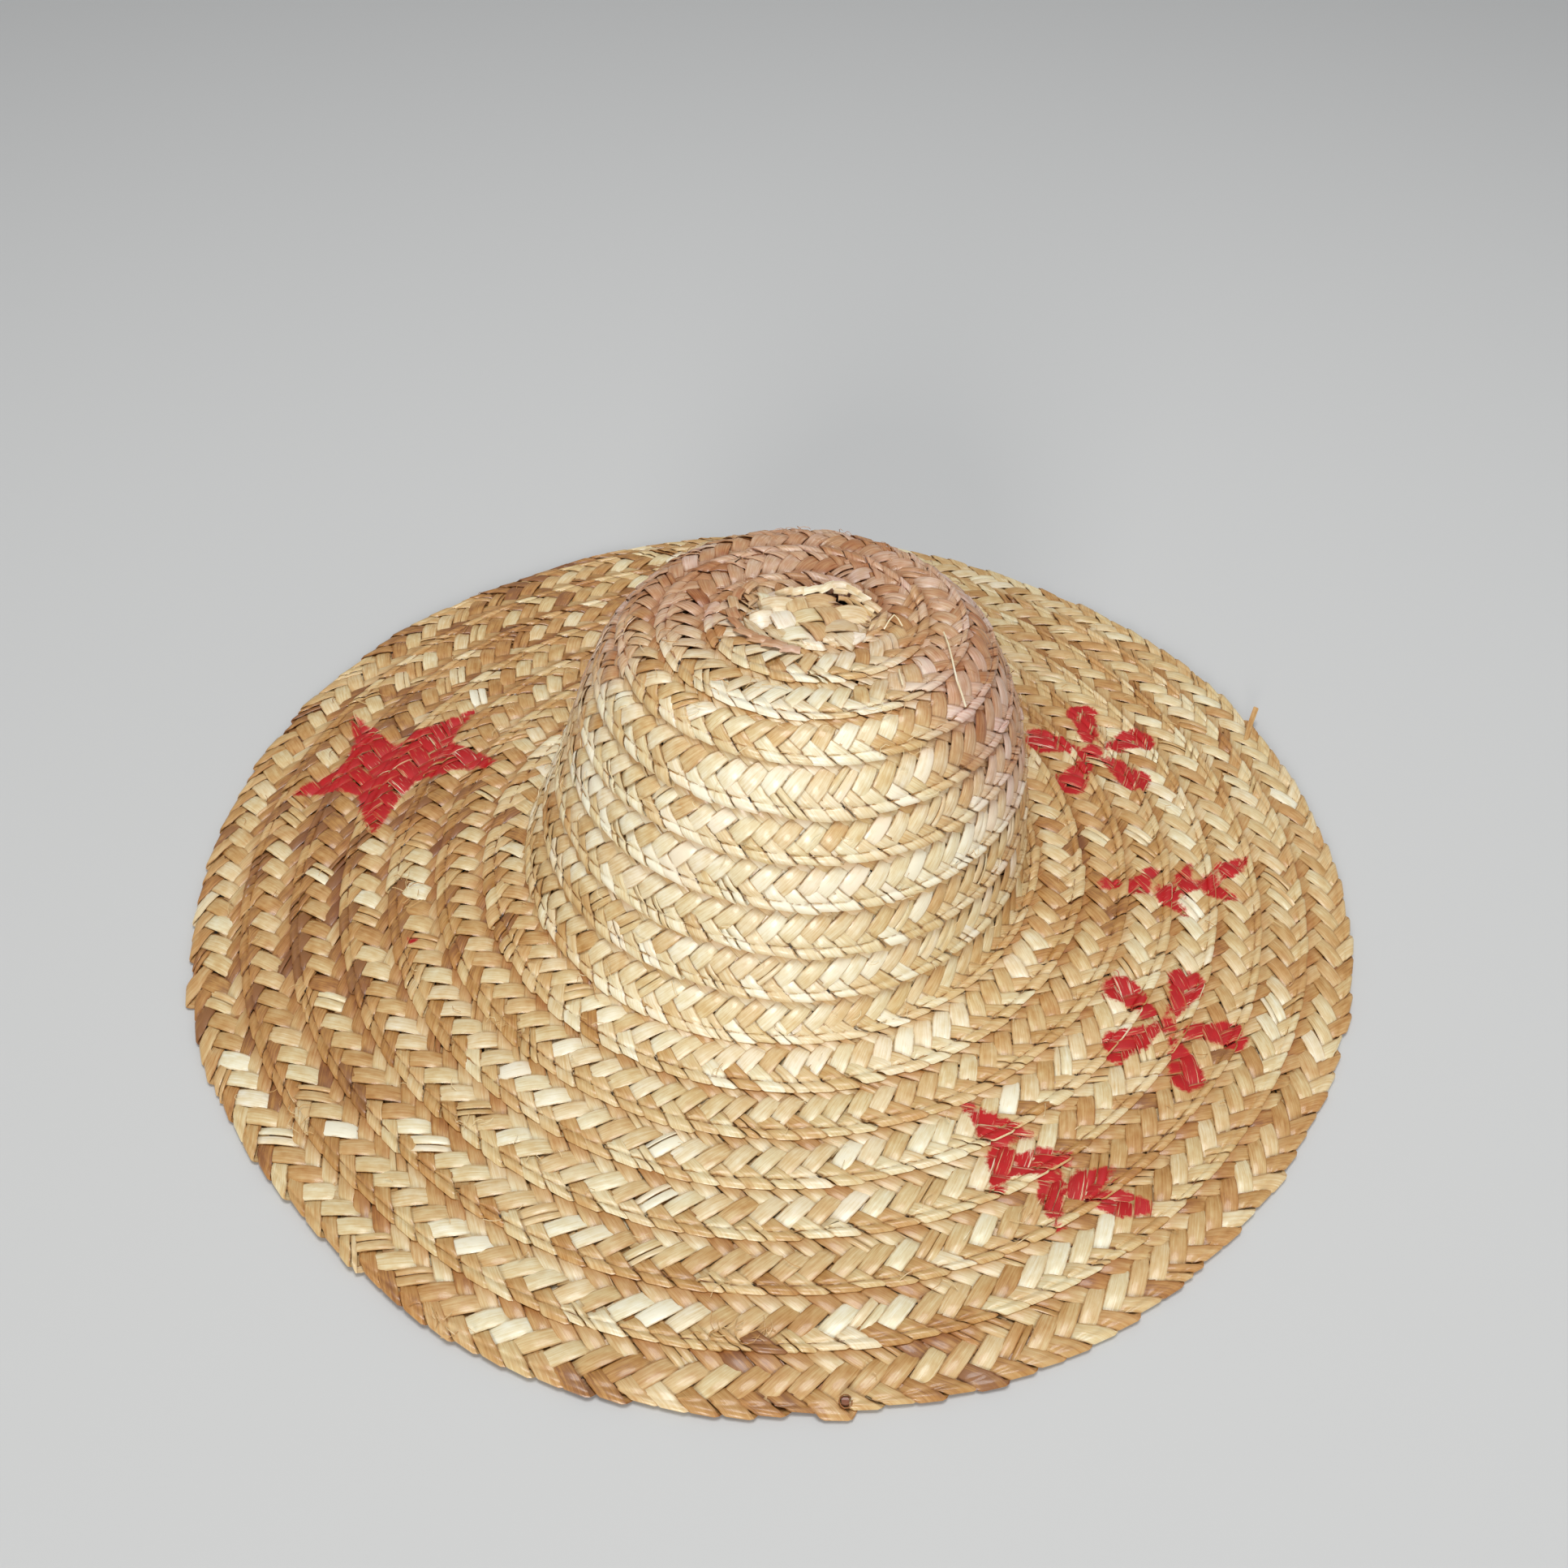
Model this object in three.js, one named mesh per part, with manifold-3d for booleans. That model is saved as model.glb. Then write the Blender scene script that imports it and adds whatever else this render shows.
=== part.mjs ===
// Conical straw hat: one flat straw plait coiled from the crown's button to the rim, each turn lapped over the next.
// Units are millimetres, +Z is up, -Y is the hat's front. The rim's underside lies in Z = 0, its centre at the origin.
import * as THREE from 'three';
import * as BufferGeometryUtils from 'three/addons/utils/BufferGeometryUtils.js';
import Module from 'manifold-3d';

const wasm = await Module();
wasm.setup();

// Driving dimensions
const rimRadius = 210;
const wall = 2.6; // thickness of the lapped straw at a turn's outer edge
const lapStep = 1.2; // how far a turn's edge stands above the next turn
const gap = 0.3; // clearance between neighbouring pieces
const brimRise = 4.4; // how far the brim climbs from the rim to the crown's foot
const segments = 72;

// Outer edge of each turn of the plait, from the button out to the crown's foot.
// radius is front to back, widthRatio is side to side over front to back, leanX and leanY are the turn's own centre.
const crownTurns = [
  { radius: 15.8, widthRatio: 1.35, height: 108.0, leanX: 9.5, leanY: 14.0 },
  { radius: 32.6, widthRatio: 1.14, height: 107.8, leanX: 8.9, leanY: 13.6 },
  { radius: 49.4, widthRatio: 1.07, height: 106.8, leanX: 8.2, leanY: 13.3 },
  { radius: 61.7, widthRatio: 1.05, height: 98.8, leanX: 7.6, leanY: 13.0 },
  { radius: 69.5, widthRatio: 1.04, height: 83.9, leanX: 7.3, leanY: 12.1 },
  { radius: 75.4, widthRatio: 1.03, height: 70.2, leanX: 7.0, leanY: 11.1 },
  { radius: 79.8, widthRatio: 1.025, height: 54.1, leanX: 6.3, leanY: 10.1 },
  { radius: 84.0, widthRatio: 1.02, height: 38.3, leanX: 4.6, leanY: 8.8 },
  { radius: 88.6, widthRatio: 1.01, height: 22.8, leanX: 2.3, leanY: 7.5 },
  { radius: 95.0, widthRatio: 1.0, height: 9.5, leanX: 0.0, leanY: 6.3 },
];
const brimTurnCount = 7;

// How far the hand-sewn rim strays from a circle, by direction in degrees from +X towards +Y.
const rimWander = [
  { direction: 0, offset: 0.8 },
  { direction: 32, offset: 1.4 },
  { direction: 62, offset: -1.2 },
  { direction: 90, offset: 0.8 },
  { direction: 118, offset: -1.0 },
  { direction: 150, offset: 0.9 },
  { direction: 180, offset: 0.8 },
  { direction: 206, offset: 0.3 },
  { direction: 228, offset: -2.2 },
  { direction: 252, offset: 1.0 },
  { direction: 270, offset: 0.8 },
  { direction: 290, offset: 0.6 },
  { direction: 322, offset: -2.2 },
  { direction: 345, offset: 0.2 },
];

// The button's two folded rounds stand up on either side of a groove, placed as a share of the button's radius.
const button = { grooveAt: 0.45, grooveWidth: 0.6, grooveDepth: 0.9, innerRise: 0.2, middleRise: 0.4 };

// The tear where the first turn has pulled away from the button, seen from above. It bites a little into the gap.
const tear = { fromDirection: 12, toDirection: 118, opening: 4.2, bite: 1, steps: 12 };

const footTurn = crownTurns.length - 1;
const rimTurn = footTurn + brimTurnCount;
const tipTurn = 3;
const foot = crownTurns[footTurn];

// Turns of the brim run evenly from the crown's foot to the rim. They fall gently, and the last one lies on the table.
function brimTurns() {
  const rows = [];
  for (let turn = 1; turn <= brimTurnCount; turn += 1) {
    const out = turn / brimTurnCount;
    const fall = Math.min(turn / (brimTurnCount - 1), 1);
    rows.push({
      radius: THREE.MathUtils.lerp(foot.radius, rimRadius, out),
      widthRatio: 1,
      height: THREE.MathUtils.lerp(brimRise + wall, wall, fall),
      leanX: foot.leanX * (1 - out),
      leanY: foot.leanY * (1 - out),
    });
  }
  return rows;
}
const turns = [...crownTurns, ...brimTurns()];

function wanderAt(angle) {
  const direction = THREE.MathUtils.euclideanModulo(THREE.MathUtils.radToDeg(angle), 360);
  let before = rimWander.length - 1;
  rimWander.forEach((row, index) => {
    if (row.direction <= direction) before = index;
  });
  const here = rimWander[before];
  const next = rimWander[(before + 1) % rimWander.length];
  const span = THREE.MathUtils.euclideanModulo(next.direction - here.direction, 360);
  const along = (direction - here.direction) / span;
  return THREE.MathUtils.lerp(here.offset, next.offset, THREE.MathUtils.smoothstep(along, 0, 1));
}

// One turn edge's direction across the plait, pointing outwards and down, as a unit vector.
function slopeAt(turn) {
  if (turn >= rimTurn - 1) return new THREE.Vector2(1, 0);
  const from = turns[Math.max(turn - 1, 0)];
  const to = turns[turn + 1];
  return new THREE.Vector2(to.radius - from.radius, to.height - from.height).normalize();
}

// A profile point: depth is measured inwards from the outer face, along gives a small shift across the plait.
function profilePoint(turn, depth, along = 0) {
  const slope = slopeAt(turn);
  const edge = turns[turn];
  return {
    turn,
    radius: edge.radius + slope.x * along + slope.y * depth,
    height: edge.height + slope.y * along - slope.x * depth,
  };
}

// A band of lapped turns: out along the smooth inner face, then back along the stepped outer face.
function bandProfile(first, last) {
  const points = [];
  for (let turn = first; turn <= last; turn += 1) {
    points.push(profilePoint(turn, wall, turn === first && first > 0 ? gap : 0));
  }
  for (let turn = last; turn > first; turn -= 1) {
    points.push(profilePoint(turn, 0));
    points.push(profilePoint(turn - 1, lapStep, turn - 1 === first && first > 0 ? gap : 0));
  }
  points.push(points[0]);
  return points;
}

// Turns a profile into a ring, then gives each turn its own centre, width and wander.
function revolve(profile) {
  const outline = profile.map((point) => new THREE.Vector2(point.radius, point.height));
  const ring = new THREE.LatheGeometry(outline, segments);
  ring.rotateX(Math.PI / 2);
  const place = ring.getAttribute('position');
  for (let index = 0; index < place.count; index += 1) {
    const { turn } = profile[index % profile.length];
    const edge = turns[turn];
    const x = place.getX(index);
    const y = place.getY(index);
    const outward = Math.max(turn - footTurn, 0) / brimTurnCount;
    const stretch = 1 + (wanderAt(Math.atan2(y, x)) * outward * outward) / edge.radius;
    place.setX(index, x * edge.widthRatio * stretch + edge.leanX);
    place.setY(index, y * stretch + edge.leanY);
  }
  return ring;
}

function closedMesh(geometry) {
  const bare = geometry.clone();
  bare.deleteAttribute('normal');
  bare.deleteAttribute('uv');
  return BufferGeometryUtils.mergeVertices(bare, 1e-4);
}

function toSolid(geometry) {
  const merged = closedMesh(geometry);
  const vertProperties = new Float32Array(merged.getAttribute('position').array);
  const triVerts = new Uint32Array(merged.getIndex().array);
  return new wasm.Manifold(new wasm.Mesh({ numProp: 3, vertProperties, triVerts }));
}

function toGeometry(solid) {
  const mesh = solid.getMesh();
  const geometry = new THREE.BufferGeometry();
  geometry.setAttribute('position', new THREE.BufferAttribute(new Float32Array(mesh.vertProperties), 3));
  geometry.setIndex(new THREE.BufferAttribute(new Uint32Array(mesh.triVerts), 1));
  geometry.computeVertexNormals();
  return geometry;
}

// The button: a low oval pad with the groove between its two folded rounds.
function buttonGeometry() {
  const edge = turns[0];
  const outer = edge.radius - gap;
  const groove = outer * button.grooveAt;
  const profile = [
    { turn: 0, radius: 0, height: edge.height - wall },
    { turn: 0, radius: outer, height: edge.height - wall },
    { turn: 0, radius: outer, height: edge.height },
    { turn: 0, radius: groove + button.grooveWidth, height: edge.height - button.grooveDepth },
    { turn: 0, radius: groove, height: edge.height + button.innerRise },
    { turn: 0, radius: 0, height: edge.height + button.middleRise },
  ];
  return closedMesh(revolve(profile));
}

// A crescent as deep as the wall, along the button's edge where the first turn has come away.
function tearCutter() {
  const edge = turns[0];
  const from = THREE.MathUtils.degToRad(tear.fromDirection);
  const to = THREE.MathUtils.degToRad(tear.toDirection);
  const outerCurve = [];
  const innerCurve = [];
  for (let step = 0; step <= tear.steps; step += 1) {
    const along = step / tear.steps;
    const angle = THREE.MathUtils.lerp(from, to, along);
    const across = new THREE.Vector2(Math.cos(angle) * edge.widthRatio, Math.sin(angle));
    const reach = edge.radius + tear.opening * Math.sin(Math.PI * along);
    outerCurve.push(across.clone().multiplyScalar(reach));
    innerCurve.unshift(across.clone().multiplyScalar(edge.radius - tear.bite));
  }
  const outline = [...outerCurve, ...innerCurve];
  const crescent = new THREE.ExtrudeGeometry(new THREE.Shape(outline), { depth: 4 * wall, bevelEnabled: false });
  crescent.translate(edge.leanX, edge.leanY, edge.height - 3 * wall);
  return crescent;
}

function tipGeometry() {
  const whole = toSolid(revolve(bandProfile(0, tipTurn)));
  return toGeometry(whole.subtract(toSolid(tearCutter())));
}

function sideGeometry() {
  return closedMesh(revolve(bandProfile(tipTurn, footTurn)));
}

function brimGeometry() {
  return closedMesh(revolve(bandProfile(footTurn, rimTurn)));
}

function straw(color, roughness) {
  return new THREE.MeshStandardMaterial({ color, roughness, metalness: 0, flatShading: true });
}

function piece(name, geometry, material) {
  const mesh = new THREE.Mesh(geometry, material);
  mesh.name = name;
  return mesh;
}

const hat = new THREE.Group();
hat.name = 'conical_straw_hat';
hat.add(piece('crown_button', buttonGeometry(), straw(0xd6b795, 0.62)));
hat.add(piece('crown_tip', tipGeometry(), straw(0xc9a68c, 0.66)));
hat.add(piece('crown_side', sideGeometry(), straw(0xdcc28f, 0.55)));
hat.add(piece('brim', brimGeometry(), straw(0xc7a066, 0.6)));

export default hat;
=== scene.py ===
import math

import bmesh
import bpy
import numpy as np
from mathutils import Matrix, Vector


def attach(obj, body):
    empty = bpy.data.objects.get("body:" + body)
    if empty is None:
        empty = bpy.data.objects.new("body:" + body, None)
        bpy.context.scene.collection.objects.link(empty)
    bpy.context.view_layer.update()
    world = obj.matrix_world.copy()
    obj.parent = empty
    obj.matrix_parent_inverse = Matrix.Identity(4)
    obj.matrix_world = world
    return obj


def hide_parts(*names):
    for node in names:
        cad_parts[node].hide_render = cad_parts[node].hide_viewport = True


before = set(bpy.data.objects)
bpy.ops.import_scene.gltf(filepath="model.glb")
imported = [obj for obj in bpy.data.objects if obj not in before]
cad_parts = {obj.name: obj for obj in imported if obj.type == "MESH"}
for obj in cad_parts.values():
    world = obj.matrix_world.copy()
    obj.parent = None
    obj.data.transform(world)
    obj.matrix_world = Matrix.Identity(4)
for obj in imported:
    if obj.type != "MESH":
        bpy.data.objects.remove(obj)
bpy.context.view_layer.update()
rng = np.random.default_rng(23)
mm = 0.001
turnAngle = 2 * math.pi

# Outer edge of each turn of the plait, from the button to the crown's foot, in mm.
# Columns: turn, radius front to back, width over depth, height of the outer face, lean in X, lean in Y
crownTurns = [
    (-1, 0.0, 1.35, 108.3, 9.5, 14.0),
    (0, 15.8, 1.35, 108.0, 9.5, 14.0),
    (1, 32.6, 1.14, 107.8, 8.9, 13.6),
    (2, 49.4, 1.07, 106.8, 8.2, 13.3),
    (3, 61.7, 1.05, 98.8, 7.6, 13.0),
    (4, 69.5, 1.04, 83.9, 7.3, 12.1),
    (5, 75.4, 1.03, 70.2, 7.0, 11.1),
    (6, 79.8, 1.025, 54.1, 6.3, 10.1),
    (7, 84.0, 1.02, 38.3, 4.6, 8.8),
    (8, 88.6, 1.01, 22.8, 2.3, 7.5),
    (9, 95.0, 1.0, 9.5, 0.0, 6.3),
]
brim = {
    "rimRadius": 210.0,
    "footTurn": 9,
    "rimTurn": 16,
    "innerHeight": 8.0,  # outer face of the first turn of the brim
    "outerHeight": 4.2,  # and of the last turn but one, which laps over the last
    "rimHeight": 2.1,  # the last turn lies flat by itself
    "waveHeight": 1.6,
}
# How far the hand-sewn rim strays from a circle: direction in degrees, offset in mm
rimWander = [
    (0, 0.8), (32, 1.4), (62, -1.2), (90, 0.8), (118, -1.0), (150, 0.9), (180, 0.8),
    (206, 0.3), (228, -2.2), (252, 1.0), (270, 0.8), (290, 0.6), (322, -2.2), (345, 0.2), (360, 0.8),
]
# The plait's tail narrows under the turn before it, at the back of the rim
tail = {"fromAngle": 60, "toAngle": 140}


# Smooth line through a short table, with no overshoot between its rows
def smoothTable(knots, values, at):
    knots = np.asarray(knots, float)
    values = np.asarray(values, float)
    step = np.diff(knots)
    slope = np.diff(values) / step
    product = slope[1:] * slope[:-1]
    total = slope[1:] + slope[:-1]
    middle = np.where(product > 0, 2 * product / np.where(total == 0, 1, total), 0)
    tangent = np.concatenate([slope[:1], middle, slope[-1:]])
    row = np.clip(np.searchsorted(knots, at, side="right") - 1, 0, len(step) - 1)
    t = (at - knots[row]) / step[row]
    beyond = t - np.clip(t, 0, 1)
    t = np.clip(t, 0, 1)
    start = values[row] * (1 + 2 * t) * (1 - t) ** 2 + tangent[row] * step[row] * t * (1 - t) ** 2
    end = values[row + 1] * t * t * (3 - 2 * t) + tangent[row + 1] * step[row] * t * t * (t - 1)
    return start + end + beyond * step[row] * np.where(beyond < 0, tangent[row], tangent[row + 1])


def smoothStep(low, high, value):
    t = np.clip((value - low) / (high - low), 0, 1)
    return t * t * (3 - 2 * t)


# A soft bump over a value, 1 at its middle
def bumpAt(value, middle, reach):
    return np.exp(-(((value - middle) / reach) ** 2))


def unit(vectors):
    return vectors / np.linalg.norm(vectors, axis=-1, keepdims=True)


# How far a direction lies in a spot's reach round the hat, both in degrees
def inSpot(degrees, spot):
    away = (degrees - spot["direction"] + 180) % 360 - 180
    return bumpAt(away, 0, spot["spread"])


def brimRows():
    rows = []
    foot = crownTurns[-1]
    count = brim["rimTurn"] - brim["footTurn"]
    for turn in range(1, count + 1):
        out = turn / count
        fall = (turn - 1) / (count - 2)
        height = brim["innerHeight"] + (brim["outerHeight"] - brim["innerHeight"]) * fall
        if turn == count:
            height = brim["rimHeight"]
        radius = foot[1] + (brim["rimRadius"] - foot[1]) * out
        rows.append((brim["footTurn"] + turn, radius, 1.0, height, 0.0, foot[5] * (1 - out)))
    return rows


turnTable = np.array(crownTurns + brimRows(), float).T
wanderTable = np.array(rimWander, float).T
waveTable = [(step * 30, height) for step, height in enumerate(rng.uniform(0, 1, 12) ** 1.5)]
waveTable = np.array(waveTable + [(360, waveTable[0][1])], float).T


# The turn count that the rim has at an angle, in radians from +X towards +Y
def rimTurnAt(angle):
    degrees = np.degrees(angle) + 90
    degrees = degrees - 360 * np.floor(degrees / 360)
    narrowed = smoothStep(tail["fromAngle"] + 90, tail["toAngle"] + 90, degrees)
    return brim["rimTurn"] + degrees / 360 - narrowed


# Slow dents from use: depths in mm, wave lengths over two pi, and how much of them side and brim take
dents = {"deep": 0.9, "shallow": 0.5, "waves": (31, 37, 17, 23), "onSide": 0.012, "onBrim": 0.5}


# A point on the hat's outer face, in mm, for a count of turn edges and an angle
def outerFace(turn, angle):
    foot = brim["footTurn"]
    count = brim["rimTurn"] - foot
    out = (turn - foot) / (rimTurnAt(angle) - foot)
    turn = np.where(turn > foot, foot + out * count, turn)
    radius, ratio, height, leanX, leanY = (smoothTable(turnTable[0], row, turn) for row in turnTable[1:])
    radius = np.maximum(radius, 0.25)
    degrees = np.degrees(angle) % 360
    share = np.clip(out, 0, 1.05) ** 2
    wander = smoothTable(*wanderTable, degrees) * share
    x = leanX + (radius + wander) * ratio * np.cos(angle)
    y = leanY + (radius + wander) * np.sin(angle)
    wave = smoothTable(*waveTable, degrees) * brim["waveHeight"] * share
    wideX, wideY, shortX, shortY = dents["waves"]
    dent = dents["deep"] * np.sin(x / wideX + 1.1) * np.sin(y / wideY + 0.4)
    dent = dent + dents["shallow"] * np.sin(x / shortX - y / shortY)
    side = smoothStep(2, 4, turn) * (1 - smoothStep(8, 9, turn))
    inward = 1 - dents["onSide"] * dent * side
    x = leanX + (x - leanX) * inward
    y = leanY + (y - leanY) * inward
    sag = dents["onBrim"] * dent * smoothStep(9, 11, turn) * (1 - share)
    return np.stack([x, y, height + wave + sag], -1)


def outerFrame(turn, angle):
    base = outerFace(turn, angle)
    acrossStep = outerFace(turn + 0.06, angle) - outerFace(turn - 0.06, angle)
    alongStep = outerFace(turn, angle + 0.01) - outerFace(turn, angle - 0.01)
    return base, unit(-np.cross(alongStep, acrossStep))


# The plait: seven splints in a two-over-two weave, coiled from the button and lapped turn on turn
plait = {
    "splintCount": 7,
    "repeat": (7.4, 8.9),  # mm from one splint to the next along the edge, on the crown and at the rim
    "width": 24.5,
    "laps": 1.45,  # the plait's width, in turns
    "lapSpacing": 17.0,
    "firstTurn": -0.98,
    "lastTurn": 16.638,
    "halfThickness": 0.75,
    "relief": 0.8,  # how far a splint's middle stands over the plait's middle
    "splintThickness": 0.34,
    "flatShare": 0.72,  # flat part of a splint's width
    "spliceEvery": 5,  # cycles of the weave that one splint lasts
    "crease": 0.68,  # the stitched crease, in crossings from the folded edge
    "stitchesEnd": (14.6, 15.2),  # turns over which the stitches give out
    "rimFrom": (15.3, 15.8),  # turns over which the plain rim begins
    "notFolded": 9,  # the crossing given to splints that have no folded edge
}


def stitchedAt(turn):
    return 1 - smoothStep(*plait["stitchesEnd"], turn)


def rimAt(turn):
    return smoothStep(*plait["rimFrom"], turn)


def edgeTurns(turn, angle):
    outer = np.where(turn < 0, 0, np.minimum(turn, rimTurnAt(angle)))
    before = np.where(turn < 1, np.where(turn < 0, -1, 0), turn - 1)
    inner = np.where(turn < 0, -0.985, np.maximum(turn - plait["laps"], -0.8))
    return outer, before, inner


def plaitLine():
    turn = np.linspace(plait["firstTurn"], plait["lastTurn"], 9000)
    angle = turnAngle * turn - math.pi / 2
    outer, _, _ = edgeTurns(turn, angle)
    inset = 0.3 * smoothStep(0, 2, turn)
    points = outerFace(outer - inset, angle)
    length = np.concatenate([[0], np.cumsum(np.linalg.norm(np.diff(points, axis=0), axis=1))])
    return turn, length


pathTurn, pathLength = plaitLine()
pathPitch = plait["repeat"][0] + (plait["repeat"][1] - plait["repeat"][0]) * smoothStep(8, 14, pathTurn)
pathRepeat = np.concatenate([[0], np.cumsum(np.diff(pathLength) / pathPitch[1:])])
repeatCount = int(pathRepeat[-1])
print(f"plait: {pathLength[-1] / 1000:.2f} m, {repeatCount} repeats")


# The tear beside the button, as a share of its full opening
tear = {"fromAngle": -4, "toAngle": 104, "innerRadius": 5, "outerRadius": 17.6, "lift": 1.5, "reach": 0.24}


def tearAt(turn):
    degrees = 360 * turn - 90
    share = (degrees - tear["fromAngle"]) / (tear["toAngle"] - tear["fromAngle"])
    return np.sin(math.pi * np.clip(share, 0, 1)) ** 0.7


# A point on the plait: mm along it, share across it from its inner edge, mm above its middle
def plaitPoint(along, across, height):
    turn = np.interp(along, pathLength, pathTurn)
    angle = turnAngle * turn - math.pi / 2
    outer, before, inner = edgeTurns(turn, angle)
    pulled = tearAt(turn) * (turn > 0) * (turn < 1)
    place = outer + (across - 1) * (outer - inner)
    lap = (outer - place) / np.maximum(outer - before, 0.25)
    start = 1 - smoothStep(0, 0.3, turn)
    lap = np.where(turn < 0, 0, np.maximum(lap, start))
    lap = np.maximum(lap, 1 - smoothStep(0, 0.3, outer - before))
    depth = plait["halfThickness"] * (1 + 2 * np.clip(lap, 0, 1.46))
    depth = depth - pulled * tear["lift"] * bumpAt(place, 0, tear["reach"])
    base, normal = outerFrame(place, angle)
    point = base + normal * (height - depth)[..., None]
    point[..., 2] = np.maximum(point[..., 2], 0.06)
    return point, turn, angle, place


# The button is the plait's straight beginning, drawn in to an oval. across runs from back to front
button = {
    "halfLength": 21.4,
    "halfDepth": 14.9,
    "forward": 0.9,
    "roundness": 2.6,
    "dome": 0.9,
    "turnedBy": -0.12,
    "torn": 0.34,
    "repeat": 8.4,  # its splints are wider than the rest
    "unruly": 3.0,  # how much further its splints stray than the crown side's
    "puckered": 0.7,  # how far its weave is bent out of line, mm
    "cell": 7.7,  # its top is woven one over one, in cells of this size, mm
    "headings": (22, 118),  # of its two sets of splints, degrees
    "cellRows": 4,  # cells on each side of the middle
    "inset": (0.8, 0.78),  # how much of its length and depth the cells cover
    "cellArch": (1.15, 2.9),  # a cell's height at its middle, and how fast it falls to its ends
    "cellTones": (-0.2, 0.12),  # one set is lighter than the other
}


def buttonPoint(along, across, height):
    _, _, _, top, leanX, leanY = crownTurns[1]
    along = along + button["puckered"] * np.sin(across * 4.2 + along * 0.16)
    share = np.clip(along / button["halfLength"] - 1, -0.995, 0.995)
    power = button["roundness"]
    taper = (1 - np.abs(share) ** power) ** (1 / power)
    x = share * button["halfLength"]
    torn = np.where(across < 0.5, button["torn"] * smoothStep(-12, 15, x), 0)
    y = (0.5 - across) * 2 * button["halfDepth"] * taper * (1 - torn)
    edge = np.clip(np.hypot(share, 2 * (across - 0.5) * taper), 0, 1)
    z = top - plait["halfThickness"] + button["dome"] * (0.5 - edge ** 3) + height
    turnX = x * math.cos(button["turnedBy"]) - y * math.sin(button["turnedBy"])
    turnY = x * math.sin(button["turnedBy"]) + y * math.cos(button["turnedBy"])
    point = np.stack(np.broadcast_arrays(turnX + leanX, turnY + leanY - button["forward"], z), -1)
    turn = np.full_like(along, -0.5)
    return point, turn, np.arctan2(turnY, turnX), turn


# Distance of each crossing from the plait's outer edge, in mm: the stitches draw the crown's wider
crossingKnots = (0, 1, 4.5, 7)
crownCrossings = (0, 4.5, 17.9, 24.4)
brimCrossings = (0, 3.3, 15.8, 24.4)
rimCrossings = (0, 3.5, 15.75, 24.5)
# The crown's splints lean along the plait, and so do those on the brim's left, in mm per mm across
crownShear = 0.16
brimShear = {"direction": 180, "spread": 40, "lean": 0.42}


def acrossPlait(crossings, turn):
    tables = (crownCrossings, brimCrossings, rimCrossings)
    crown, brimPart, rimPart = (smoothTable(crossingKnots, table, crossings) for table in tables)
    onBrim = smoothStep(10, 14.5, turn)
    fromEdge = crown + (brimPart - crown) * onBrim + (rimPart - brimPart) * rimAt(turn)
    leftLean = brimShear["lean"] * inSpot(360 * turn - 90, brimShear) * smoothStep(9, 11, turn)
    return fromEdge, -(crownShear * (1 - onBrim) + leftLean) * fromEdge


tipUnruly = 2.6  # how much further the tip's splints stray than the crown side's

# The fold is painted lighter, a painted highlight where it catches the light. On the brim's left the fold and
# the cells beside it are painted darker, a painted shade, and the outer right cells lighter, a painted sheen
foldHighlight = -0.13
paintedEdgeShading = {"direction": 212, "spread": 54, "fold": 0.26, "beside": 0.22, "over": -0.17}
# How each splint goes over the folded edge. Bumps: middle and reach in crossings, then strength
edgeBumps = {
    "bulge": (0, 0.4, 0.08),
    "rimSkew": (0, 0.4, 0.15),
    "stray": (0, 0.4, 0.7),
    "rimStray": (0, 0.4, 0.8),
    "hollow": (-0.3, 0.3, 0.22),
    "roll": (-0.35, 0.25, 0.14),
    "sway": (-0.6, 0.3, 0.04),
    "crease": (-plait["crease"], 0.1, 0.6),
    "pit": (-0.75, 0.22, 0.25),
    "ownPit": (-0.75, 0.22, 0.3),
}

# Courses of a splint through the weave, from its fold at the plait's outer or inner edge.
# Stations: crossings from the fold, height as a share of the relief, facing in degrees.
# Facing 0 is the plait's outer side, 90 its edge and 180 its inner side.
hiddenStations = [(3.0, 0.5, 180), (3.5, 0.0, 180), (4.5, -1.0, 180), (5.5, 0.0, 180), (6.0, 0.5, 180)]
courses = {
    "edgeWrap": {"edge": "outer", "split": 0.08, "stations": [
        (-2.1, -0.6, 0), (-1.6, -0.1, 0), (-1.35, 0.5, 0), (-1.05, 0.8, 0), (-0.82, 0.6, 0),
        (-plait["crease"], -0.3, 0), (-0.54, 0.5, 0), (-0.3, 0.8, 12), (-0.1, 0.5, 50), (0.0, -0.1, 95),
        (0.2, -0.7, 150), (0.9, -1.0, 180), (1.5, -0.4, 180), (2.0, 0.4, 180),
    ]},
    "outerRight": {"edge": "outer", "split": 0.1, "stations": [
        (1.0, -0.6, 0), (1.45, 0.0, 0), (1.7, 0.52, 0), (2.1, 0.95, 0), (2.5, 1.12, 0), (2.9, 1.0, 0),
        (3.3, 0.6, 0), (3.55, 0.0, 0), (4.0, -0.6, 0),
    ]},
    "innerRight": {"edge": "outer", "split": 0.0, "stations": hiddenStations},
    "tuckWrap": {"edge": "inner", "split": 0.0, "stations": [
        (-2.0, -0.5, 0), (-1.5, 0.0, 0), (-0.9, 0.9, 0), (-0.2, 0.7, 30), (0.0, 0.0, 90),
        (0.2, -0.7, 150), (0.9, -1.0, 180), (1.5, -0.3, 180), (2.0, 0.4, 180),
    ]},
    "outerLeft": {"edge": "inner", "split": 0.12, "stations": [
        (1.0, -0.6, 0), (1.5, -0.05, 0), (1.85, 0.6, 0), (2.5, 0.9, 0), (3.15, 0.6, 0), (3.5, 0.0, 0),
        (4.0, -0.6, 0),
    ]},
    "innerLeft": {"edge": "inner", "split": 0.0, "stations": hiddenStations},
}


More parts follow.
